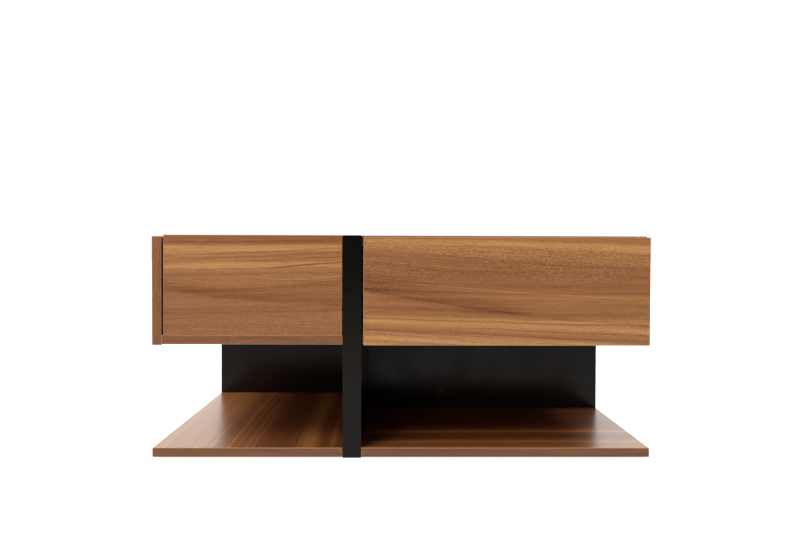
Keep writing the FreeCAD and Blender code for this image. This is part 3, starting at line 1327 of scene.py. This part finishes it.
@dataclass
class CamLock:
    """A cam lock as it shows in a board's face: a rimmed disc with a cross recess and an arrow notch."""

    radius: float = 0.0075
    proud: float = 0.0003
    sunk: float = 0.0006
    rim: float = 0.0009
    rim_step: float = 0.0002
    arm_length: float = 0.0085
    arm_width: float = 0.0017
    recess: float = 0.0006
    notch_length: float = 0.0026
    sides: int = 32

    def model(self) -> Piece:
        """Models one cam lock.

        Returns:
            The master piece.
        """
        disc = Bench.cylinder(self.radius, self.proud + self.sunk, self.sides)
        disc.data.transform(Matrix.Translation((0, 0, -self.sunk)))
        Bench.edit(disc)
        Bench.pick(disc, lambda middle, normal: normal.z > SQUARE_ON)
        bpy.ops.mesh.inset(thickness=self.rim, depth=0)
        bpy.ops.mesh.inset(thickness=self.rim_step, depth=-self.rim_step)
        Bench.close()
        Bench.carve_cross(disc, self.arm_length, self.arm_width, self.recess, self.proud)
        notch = Bench.block(
            (self.notch_length, self.arm_width / 2, 2 * self.recess), (self.radius, 0, self.proud)
        )
        Bench.carve(disc, notch)
        Bench.smooth(disc)
        return disc


@dataclass
class BallCage:
    """The ball cage of one slide: a folded strip with windows, and round balls in them."""

    sheet: float = 0.0005
    near: float = 0.0015
    reach: float = 0.0081
    ball_out: float = 0.0054
    ball_up: float = 0.0104
    ball_diameter: float = 0.0032
    window_play: float = 0.0003
    balls: int = 3
    roundness: int = 3

    def model(self) -> Piece:
        """Models one cage on the front quarter's case wall.

        Returns:
            The master piece.
        """
        low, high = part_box("front_ball_cages")
        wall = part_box("front_slide_channels")[0].x
        length = high.y - low.y
        middle = (low + high) / 2
        tall = 2 * self.ball_up + self.sheet
        fold_from = tall / 2 - self.sheet
        web_middle = (wall + self.near + self.sheet / 2, middle.y, middle.z)
        strip = Bench.block((self.sheet, length, tall), web_middle)
        Bench.edit(strip)
        for level in (fold_from, -fold_from):
            bpy.ops.mesh.select_all(action="SELECT")
            bpy.ops.mesh.bisect(plane_co=(wall, middle.y, middle.z + level), plane_no=UP)
        Bench.pick(strip, lambda spot, normal: normal.x > SQUARE_ON and abs(spot.z - middle.z) > fold_from)
        fold = (self.reach - self.near - self.sheet, 0, 0)
        bpy.ops.mesh.extrude_region_move(TRANSFORM_OT_translate={"value": fold})
        Bench.close()
        window = self.ball_diameter + 2 * self.window_play
        pitch = length / self.balls
        out = wall + self.ball_out
        parts = [strip]
        for index in range(self.balls):
            place = low.y + pitch * (index + 0.5)
            Bench.carve(strip, Bench.block((window, window, 2 * tall), (out, place, middle.z)))
            for level in (self.ball_up, -self.ball_up):
                parts.append(self.ball(Vector((out, place, middle.z + level))))
        return Bench.join(parts, "cage_master")

    def ball(self, middle: Vector) -> Piece:
        """Models one smooth bearing ball.

        Args:
            middle: The ball's middle.

        Returns:
            The ball.
        """
        Bench.clear()
        bpy.ops.mesh.primitive_ico_sphere_add(
            subdivisions=self.roundness, radius=self.ball_diameter / 2, location=middle
        )
        bpy.ops.object.transform_apply()
        bpy.ops.object.shade_smooth()
        return bpy.context.object


@dataclass
class QuarterPart:
    """A sub-assembly that every quarter has: laid out on the front quarter, then turned to its own."""

    side: Side

    def named(self, part: str) -> str:
        """The name of a part in this quarter."""
        return f"{self.side.word}_{part}"

    def stand(self, feet: Iterable[Sequence[float]], heading: Sequence[float]) -> list[Matrix]:
        """Places fittings on points of the front quarter, heads towards a heading, turned to this quarter."""
        turn = UP.rotation_difference(Vector(heading)).to_matrix().to_4x4()
        return [self.side.turn @ (Matrix.Translation(foot) @ turn) for foot in feet]

    def mount(
        self, master: Piece, places: Iterable[Matrix], name: str, finish: EvenFinish, body: str
    ) -> Piece:
        """Makes one piece of a fitting's copies, dresses it and sets it on its body.

        Args:
            master: The fitting that was modelled once.
            places: Where each copy goes.
            name: The piece's name within the quarter.
            finish: What the piece wears.
            body: The body that it rides on.

        Returns:
            The piece.
        """
        piece = Bench.copies(master, places, self.named(name))
        piece.data.materials.clear()
        piece.data.materials.append(finish.material())
        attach(piece, body)
        log.info("%s rides on %s", piece.name, body)
        return piece


@dataclass
class Carcass(QuarterPart):
    """One quarter's fixed boards: shelf, case bottom, top board and side panel, with their cam locks."""

    seed: float
    shelf_print_and_shade: Figure
    side_figure: Figure
    top_figure: Figure
    turned_sides: tuple[Side, ...] = (Side.BACK, Side.LEFT)
    cam_edge: float = 0.024
    cam_shares: Span = (0.18, 0.82)

    def dress(self) -> None:
        """Dresses the boards."""
        rows = (
            ("shelf", Lay.FLAT, self.shelf_print_and_shade),
            ("case_bottom", Lay.FLAT, STRAIGHT_FIGURE),
            ("top_board", Lay.FLAT, self.top_figure),
            ("side_panel", Lay.FACING_SIDE, self.side_figure),
        )
        turned = self.side in self.turned_sides
        for step, (part, lay, figure) in enumerate(rows):
            board = Board(self.side, part, lay, self.seed + step, turned)
            dress(board.node, WALNUT.material(board, figure))

    def cam_places(self, part: str) -> list[Matrix]:
        """Places the cam locks under a board, along its two long edges.

        Args:
            part: The board of the front quarter.

        Returns:
            One place for each cam lock, turned to this quarter.
        """
        low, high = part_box("front_" + part)
        edges = (low.x + self.cam_edge, high.x - self.cam_edge)
        feet = [(edge, share_of(low.y, high.y, share), low.z) for edge in edges for share in self.cam_shares]
        return self.stand(feet, -UP)

    def fit(self, cam: Piece) -> None:
        """Fits the cam locks.

        Args:
            cam: The modelled cam lock.
        """
        for part in ("shelf", "case_bottom", "top_board"):
            self.mount(cam, self.cam_places(part), part + "_cams", ZINC, "table")


@dataclass
class Drawer(QuarterPart):
    """One drawer: its front, its box, and the fittings that move with it."""

    seed: float
    front_figure: Figure
    turned_sides: tuple[Side, ...] = (Side.LEFT,)
    cam_setback: float = 0.026
    cam_shares: Span = (0.3, 0.74)
    rail_sheet: float = 0.0012
    rail_shares: tuple[float, ...] = (0.06, 0.5, 0.94)

    def dress(self) -> None:
        """Dresses the front, the box, its bottom and its rails."""
        turned = self.side in self.turned_sides
        front = Board(self.side, "drawer_front", Lay.FACING_FRONT, self.seed, turned)
        dress(front.node, WALNUT.material(front, self.front_figure))
        boxes = (
            ("drawer_left_side", Lay.FACING_SIDE),
            ("drawer_right_side", Lay.FACING_SIDE),
            ("drawer_back", Lay.FACING_FRONT),
        )
        for step, (part, lay) in enumerate(boxes, start=1):
            board = Board(self.side, part, lay, self.seed + step)
            dress(board.node, DRAWER_FOIL.material(board))
        dress(self.named("drawer_bottom"), HARDBOARD.material())
        dress(self.named("drawer_rails"), ZINC.material())

    def wall_places(self, feet: Sequence[Span], inside: bool = False, proud: float = 0.0) -> list[Matrix]:
        """Places fittings on the two side walls of the box.

        Args:
            feet: Where they stand along Y and Z.
            inside: Whether they stand on the inner faces or on the outer ones.
            proud: How far off the face they stand.

        Returns:
            One place for each fitting, turned to this quarter.
        """
        places = []
        for wall, inwards in (("front_drawer_left_side", 1.0), ("front_drawer_right_side", -1.0)):
            low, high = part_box(wall)
            heading = inwards if inside else -inwards
            face = (high.x if heading > 0 else low.x) + heading * proud
            places += self.stand([(face, along, level) for along, level in feet], (heading, 0, 0))
        return places

    def fit(self, cam: Piece, screw: Piece) -> None:
        """Fits the cam locks behind the front, the rail screws and the screws into the drawer back.

        Args:
            cam: The modelled cam lock.
            screw: The modelled pan-head screw.
        """
        low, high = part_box("front_drawer_left_side")
        rail_low, rail_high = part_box("front_drawer_rails")
        back_low, back_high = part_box("front_drawer_back")
        levels = [share_of(low.z, high.z, share) for share in self.cam_shares]
        rail_level = (rail_low.z + rail_high.z) / 2
        back_middle = (back_low.y + back_high.y) / 2
        cam_feet = [(low.y + self.cam_setback, level) for level in levels]
        rail_feet = [(share_of(rail_low.y, rail_high.y, share), rail_level) for share in self.rail_shares]
        back_feet = [(back_middle, level) for level in levels]
        rows = (
            (cam, self.wall_places(cam_feet, inside=True), "drawer_cams"),
            (screw, self.wall_places(rail_feet, proud=self.rail_sheet), "rail_screws"),
            (screw, self.wall_places(back_feet), "drawer_back_screws"),
        )
        for master, places, name in rows:
            self.mount(master, places, name, ZINC, self.named("drawer"))


@dataclass
class Slides(QuarterPart):
    """One drawer's slides on the case: channels with their screws, and the ball cages."""

    sheet: float = 0.0012
    screw_shares: Span = (0.07, 0.8)

    def dress(self) -> None:
        """Dresses the channels."""
        dress(self.named("slide_channels"), ZINC.material())

    def screw_places(self) -> list[Matrix]:
        """Places the flat screws inside the channels.

        Returns:
            One place for each screw, turned to this quarter.
        """
        low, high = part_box("front_slide_channels")
        places = []
        level = (low.z + high.z) / 2
        for face, heading in ((low.x + self.sheet, 1.0), (high.x - self.sheet, -1.0)):
            feet = [(face, share_of(low.y, high.y, share), level) for share in self.screw_shares]
            places += self.stand(feet, (heading, 0, 0))
        return places

    def cage_places(self) -> list[Matrix]:
        """Places a cage on the case's side wall and one on the core panel's wall.

        Returns:
            The turn of each from the front quarter's case wall.
        """
        low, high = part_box("front_ball_cages")
        pivot = Matrix.Translation((low + high) / 2)
        half_turn = pivot @ Matrix.Rotation(math.pi, 4, "Z") @ pivot.inverted()
        return [self.side.turn, self.side.turn @ half_turn]

    def fit(self, cage: Piece, screw: Piece) -> None:
        """Fits the cages and the channel screws.

        Args:
            cage: The modelled ball cage.
            screw: The modelled flat screw.
        """
        cages = self.mount(cage, self.cage_places(), "cages_and_balls", BEARING, self.named("cages"))
        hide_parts(self.named("ball_cages"))
        self.mount(screw, self.screw_places(), "channel_screws", ZINC, "table")


@dataclass
class PushLatch(QuarterPart):
    """The push latch behind one drawer."""

    plate_width: float = 0.044
    plate_thickness: float = 0.003
    plate_screw_share: float = 0.12

    def fit(self, screw: Piece) -> None:
        """Dresses the plunger and fits the plate's two screws.

        Args:
            screw: The modelled pan-head screw.
        """
        dress(self.named("latch_plunger"), GREY_PLASTIC.material())
        low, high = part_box("front_latch_plunger")
        middle = (low + high) / 2
        plate_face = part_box("front_core_panel")[1].y - self.plate_thickness
        reach = self.plate_width * (0.5 - self.plate_screw_share)
        feet = [(middle.x + offset, plate_face, middle.z) for offset in (-reach, reach)]
        self.mount(screw, self.stand(feet, (0, -1, 0)), "latch_screws", ZINC, "table")


@dataclass
class Core:
    """The black core of the table and what is shared by all quarters."""

    def dress(self) -> None:
        """Dresses the core panels, the cap over the well and the shared fittings."""
        for side in Side:
            dress(side.word + "_core_panel", BLACK_LAMINATE.material())
        dress("centre_cap", BLACK_LAMINATE.material())
        dress("core_screws", BLACK_STEEL.material())
        dress("latch_housings", BLACK_PLASTIC.material())
        dress("felt_pads", FELT.material())


@dataclass(frozen=True)
class SoftBox:
    """A studio light with a broad even face, which glossy surfaces mirror unless it says otherwise."""

    name: str
    place: Point
    width: float
    height: float
    watts: float
    aim: Point = (0.0, 0.0, 0.2)
    mirrored: bool = True

    def hang(self) -> None:
        """Hangs the light and turns it to its aim."""
        lamp = bpy.data.lights.new(self.name, "AREA")
        lamp.shape = "RECTANGLE"
        lamp.size = self.width
        lamp.size_y = self.height
        lamp.energy = self.watts
        holder = bpy.data.objects.new(self.name, lamp)
        holder.location = self.place
        holder.visible_glossy = self.mirrored
        holder.rotation_euler = (Vector(self.aim) - Vector(self.place)).to_track_quat("-Z", "Y").to_euler()
        bpy.context.scene.collection.objects.link(holder)


@dataclass(frozen=True)
class Studio:
    """A pale floor, a white backdrop and soft light."""

    floor_width: float = 60.0
    floor_colour: Colour = (0.82, 0.82, 0.82, 1.0)
    floor_roughness: float = 0.9
    floor_glow: float = 0.88
    glow_from: float = 1.0
    glow_to: float = 4.0
    front_level: float = 0.12
    back_level: float = 1.66
    back_tint: Colour = (1.0, 0.94, 0.88, 1.0)
    below_level: float = 0.45
    front_rise: Span = (0.15, 0.7)
    back_turn: Span = (0.3, 0.75)
    below_turn: Span = (0.03, 0.14)
    lights: tuple[SoftBox, ...] = (
        SoftBox("front soft box", (-1.7, -5.0, 0.42), 2.4, 0.6, 80.0, (4.0, -0.4, 0.25), False),
        SoftBox("left soft box", (-1.7, -1.85, 2.75), 1.8, 1.6, 66.0),
        SoftBox("low left soft box", (-2.3, 0.05, 0.95), 1.2, 0.6, 5.0, (-0.2, -0.15, 0.02)),
        SoftBox("right soft box", (1.6, -0.1, 2.4), 1.0, 0.6, 24.0, (0.38, -0.3, 0.02)),
        SoftBox("top soft box", (0.0, 0.3, 3.0), 2.4, 2.4, 30.0),
    )

    def build(self) -> None:
        """Builds floor, surroundings and lights."""
        self.lay_floor()
        self.surround()
        for light in self.lights:
            light.hang()

    def lay_floor(self) -> None:
        """Lays the floor, which glows to the eye alone and runs into the white backdrop."""
        Bench.clear()
        bpy.ops.mesh.primitive_plane_add(size=self.floor_width)
        floor = bpy.context.object
        floor.name = "studio_floor"
        dressing = Dressing("pale studio floor")
        sketch = dressing.sketch
        span = sketch.add("VectorMath", operation="LENGTH")
        sketch.feed(span.inputs[0], sketch.add("TexCoord").outputs["Object"])
        far = sketch.smooth(span.outputs["Value"], self.glow_from, self.glow_to)
        seen = sketch.add("LightPath").outputs["Is Camera Ray"]
        glow = sketch.times(sketch.between(far, self.floor_glow, 1.0), seen)
        dressing.set(base_color=self.floor_colour, roughness=self.floor_roughness, specular_ior_level=0.0)
        dressing.set(emission_color=WHITE, emission_strength=glow)
        floor.data.materials.append(dressing.material)
        floor.visible_glossy = False

    def surround(self) -> None:
        """Makes the surroundings: white to the eye, and else bright behind, dim in front and grey below."""
        world = bpy.data.worlds.new("studio")
        bpy.context.scene.world = world
        world.use_nodes = True
        world.node_tree.nodes.clear()
        sketch = NodeSketch(world.node_tree)
        _, back, up = sketch.parts(sketch.add("TexCoord").outputs["Generated"])
        behind = sketch.smooth(back, *self.back_turn)
        before = sketch.times(sketch.smooth(up, *self.front_rise), self.front_level)
        above = sketch.between(behind, before, self.back_level)
        down = sketch.smooth(sketch.times(up, -1.0), *self.below_turn)
        below = sketch.times(down, self.below_level)
        level = sketch.between(sketch.math("GREATER_THAN", up, 0.0), below, above)
        seen = sketch.add("LightPath").outputs["Is Camera Ray"]
        tint = sketch.blend(seen, self.back_tint, WHITE)
        strength = sketch.between(seen, level, 1.0)
        backdrop = sketch.wired(sketch.add("Background"), {"Strength": strength, "Color": tint})
        sketch.feed(sketch.add("OutputWorld").inputs["Surface"], backdrop)
        bpy.context.scene.view_settings.view_transform = "Standard"


@dataclass(frozen=True)
class PhotoCamera:
    """The camera at the photograph's angle: a little below the tabletop's height, close to square on.

    Its swing, dip and roll are in radians, its lens and film width in millimetres.
    """

    place: Point = (-0.01518, -1.54813, 0.32809)
    swing: float = -0.0103
    dip: float = 0.0157
    roll: float = 0.0029
    lens: float = 32.25
    film_width: float = 36.0

    def set_up(self) -> None:
        """Sets the camera up and makes it the scene's."""
        lens = bpy.data.cameras.new("photo camera")
        lens.lens = self.lens
        lens.sensor_width = self.film_width
        lens.sensor_fit = "HORIZONTAL"
        camera = bpy.data.objects.new("photo camera", lens)
        aim = Matrix.Rotation(math.pi / 2 - self.dip, 4, "X") @ Matrix.Rotation(self.roll, 4, "Z")
        camera.matrix_world = Matrix.Translation(self.place) @ Matrix.Rotation(self.swing, 4, "Z") @ aim
        bpy.context.scene.collection.objects.link(camera)
        bpy.context.scene.camera = camera


@dataclass(frozen=True)
class QuarterLook:
    """What sets one quarter's boards apart: the seed of their grain, and the figure of each kind."""

    seed: float
    shelf: Figure
    side_panel: Figure
    drawer_front: Figure
    top_board: Figure


class CoffeeTable:
    """The whole table: four carcasses with drawers, slides and latches round the black core."""

    LOOKS = {
        Side.FRONT: QuarterLook(2.0, SHELF_PRINT_AND_SHADE, CALM_FIGURE, DRAWER_FIGURE, CATHEDRAL_FIGURE),
        Side.RIGHT: QuarterLook(13.0, LONG_SHELF_PRINT_AND_SHADE, PANEL_FIGURE, CALM_FIGURE, CALM_FIGURE),
        Side.BACK: QuarterLook(27.0, SHELF_PRINT_AND_SHADE, DRAWER_FIGURE, PANEL_FIGURE, CATHEDRAL_FIGURE),
        Side.LEFT: QuarterLook(41.0, LONG_SHELF_PRINT_AND_SHADE, PANEL_FIGURE, DRAWER_FIGURE, STRAIGHT_FIGURE),
    }
    DRAWER_SEED_STEP = 5
    PAN_SCREW = CrossScrew(
        radius=0.0036, height=0.001, crown=0.0009, arm_length=0.0034, arm_width=0.0009, recess=0.0009
    )
    FLAT_SCREW = CrossScrew(
        radius=0.0034, height=0.0001, crown=0.00012, arm_length=0.003, arm_width=0.0008, recess=0.00012
    )

    def __init__(self) -> None:
        """Models the masters of the fittings."""
        self.masters = {
            "pan screw": self.PAN_SCREW.model(),
            "flat screw": self.FLAT_SCREW.model(),
            "cam lock": CamLock().model(),
            "ball cage": BallCage().model(),
        }

    def build(self) -> None:
        """Dresses every node and fits every new piece, quarter by quarter."""
        Core().dress()
        for side, look in self.LOOKS.items():
            carcass = Carcass(side, look.seed, look.shelf, look.side_panel, look.top_board)
            carcass.dress()
            carcass.fit(self.masters["cam lock"])
            drawer = Drawer(side, look.seed + self.DRAWER_SEED_STEP, look.drawer_front)
            drawer.dress()
            drawer.fit(self.masters["cam lock"], self.masters["pan screw"])
            slides = Slides(side)
            slides.dress()
            slides.fit(self.masters["ball cage"], self.masters["flat screw"])
            PushLatch(side).fit(self.masters["pan screw"])
        for master in self.masters.values():
            bpy.data.objects.remove(master)


def main() -> None:
    """Builds the table, the studio and the camera."""
    logging.basicConfig(level=logging.INFO, format="%(message)s")
    CoffeeTable().build()
    Studio().build()
    PhotoCamera().set_up()


if __name__ == "__main__":
    main()
